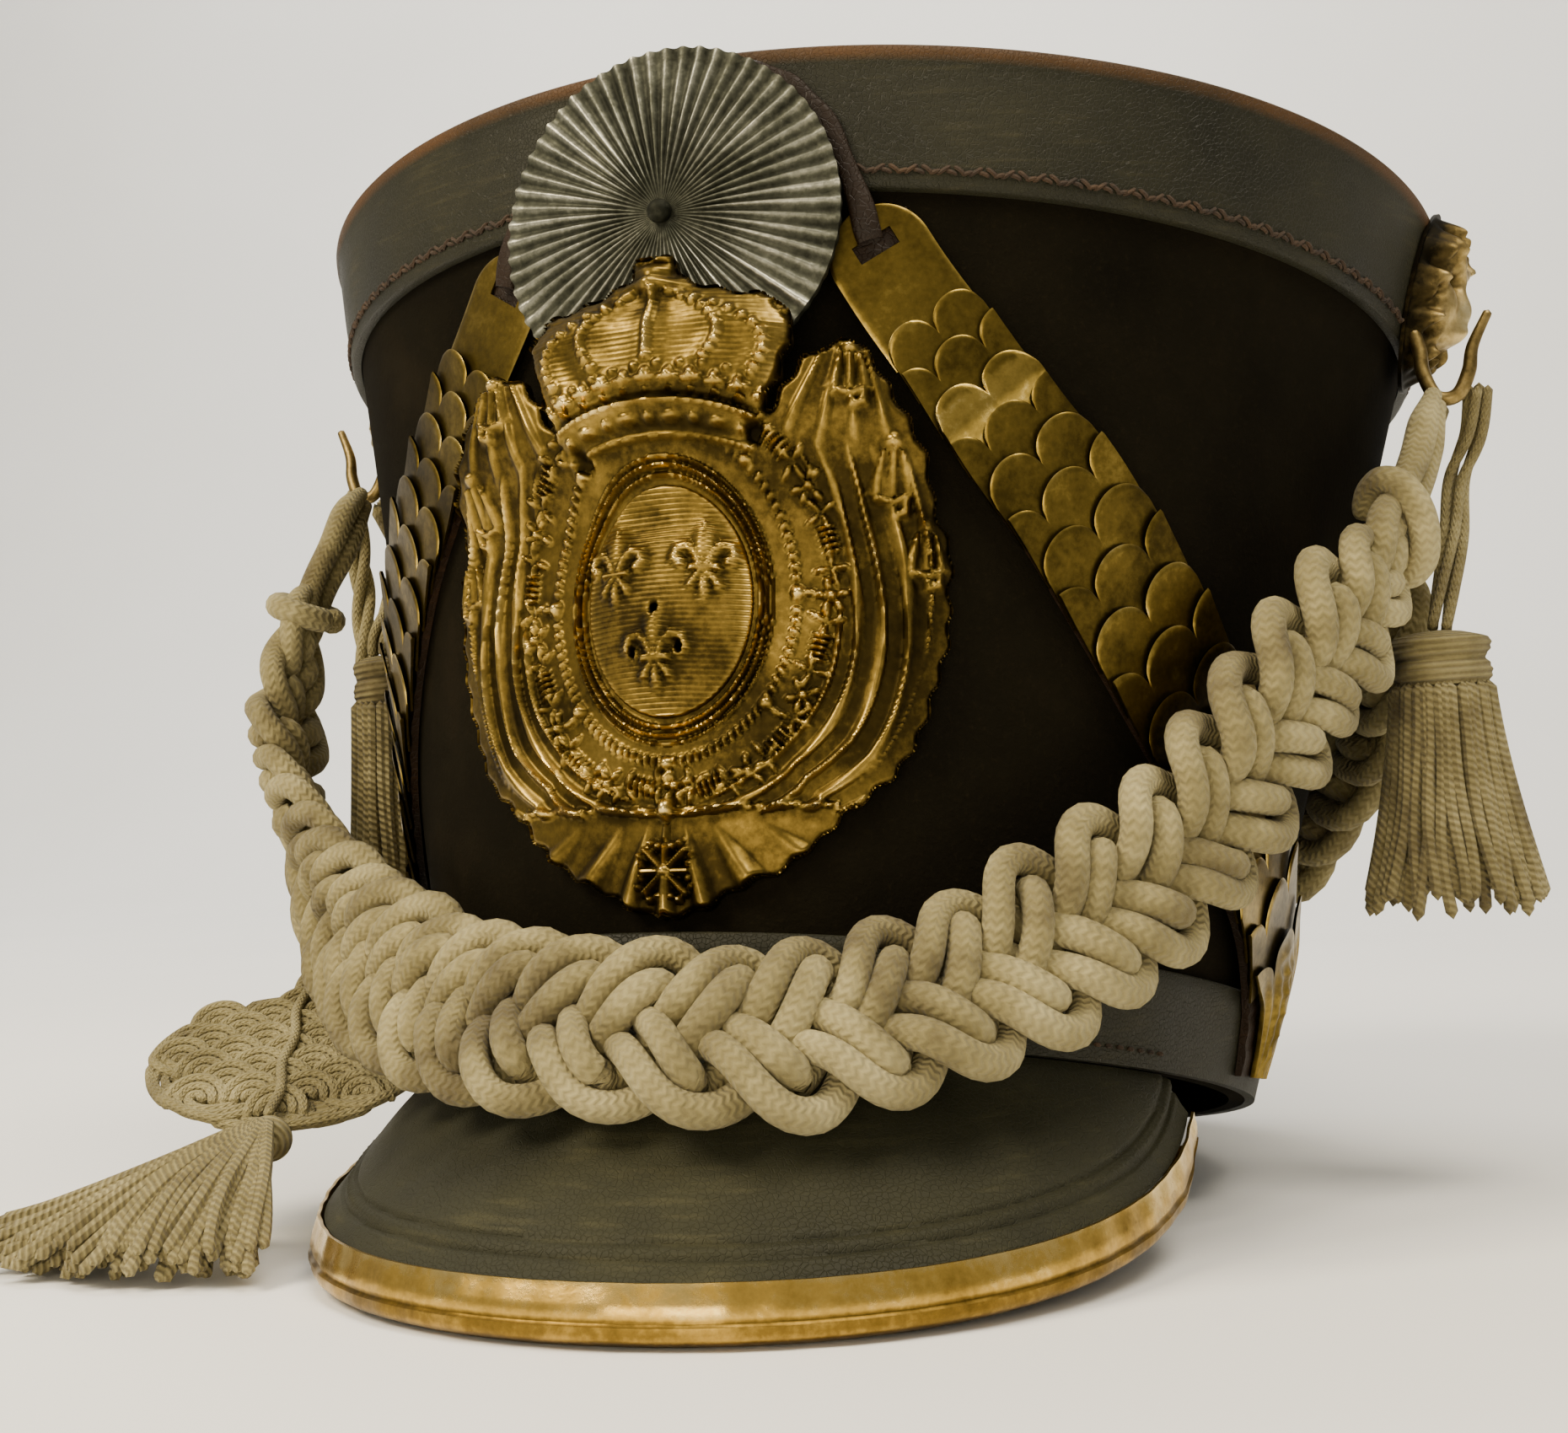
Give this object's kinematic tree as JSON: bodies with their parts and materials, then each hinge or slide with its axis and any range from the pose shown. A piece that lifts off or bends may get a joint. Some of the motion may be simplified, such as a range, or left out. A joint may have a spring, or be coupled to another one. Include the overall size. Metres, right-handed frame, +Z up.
{
  "type": "shako",
  "caption": "Bell-topped black felt shako with leather bands and peak, brass plate, chin scales and edging, ribbed cockade and white plaited cords with tassels.",
  "frame": {"origin": "on the table, under the middle of the footprint of the hat, its cords left out; the hat leans back on its peak and the back of its base rim", "axes": "-Y is the front with the peak and plate, +X the wearer's left, +Z up"},
  "size_m": [0.2861, 0.3124, 0.2252],
  "materials": {
    "black_felt": "matt, worn nap",
    "black_leather": "aged, dull gloss with cracks",
    "brown_leather": "aged, matt",
    "worn_brass": "tarnished, worn bright on high places",
    "grey_metal": "tarnished silver grey",
    "white_cotton": "off-white twisted yarn"
  },
  "bodies": {
    "root": {"felt_body": "black_felt", "top_disc": "black_leather", "top_band": "black_leather", "base_band": "black_leather", "peak": "black_leather", "peak_edging": "worn_brass", "cockade": "grey_metal", "front_plate": "worn_brass", "scale_strap_left": "brown_leather", "slot_plate_left": "worn_brass", "scale_left_01": "worn_brass", "scale_left_02": "worn_brass", "scale_left_03": "worn_brass", "scale_left_04": "worn_brass", "scale_left_05": "worn_brass", "scale_left_06": "worn_brass", "scale_left_07": "worn_brass", "scale_left_08": "worn_brass", "scale_left_09": "worn_brass", "scale_left_10": "worn_brass", "scale_left_11": "worn_brass", "scale_left_12": "worn_brass", "scale_left_13": "worn_brass", "scale_left_14": "worn_brass", "scale_left_15": "worn_brass", "scale_left_16": "worn_brass", "strap_end_left": "worn_brass", "lace_left": "brown_leather", "cord_boss_left": "worn_brass", "scale_strap_right": "brown_leather", "slot_plate_right": "worn_brass", "scale_right_01": "worn_brass", "scale_right_02": "worn_brass", "scale_right_03": "worn_brass", "scale_right_04": "worn_brass", "scale_right_05": "worn_brass", "scale_right_06": "worn_brass", "scale_right_07": "worn_brass", "scale_right_08": "worn_brass", "scale_right_09": "worn_brass", "scale_right_10": "worn_brass", "scale_right_11": "worn_brass", "scale_right_12": "worn_brass", "scale_right_13": "worn_brass", "scale_right_14": "worn_brass", "scale_right_15": "worn_brass", "scale_right_16": "worn_brass", "strap_end_right": "worn_brass", "lace_right": "brown_leather", "cord_boss_right": "worn_brass", "front_plait": "white_cotton", "rear_plait": "white_cotton", "side_tassel_cord_left": "white_cotton", "side_tassel_cord_right": "white_cotton", "side_tassel_left": "white_cotton", "side_tassel_right": "white_cotton", "raquette_cord": "white_cotton", "raquette": "white_cotton", "raquette_tassel": "white_cotton"}
  },
  "joints": []
}
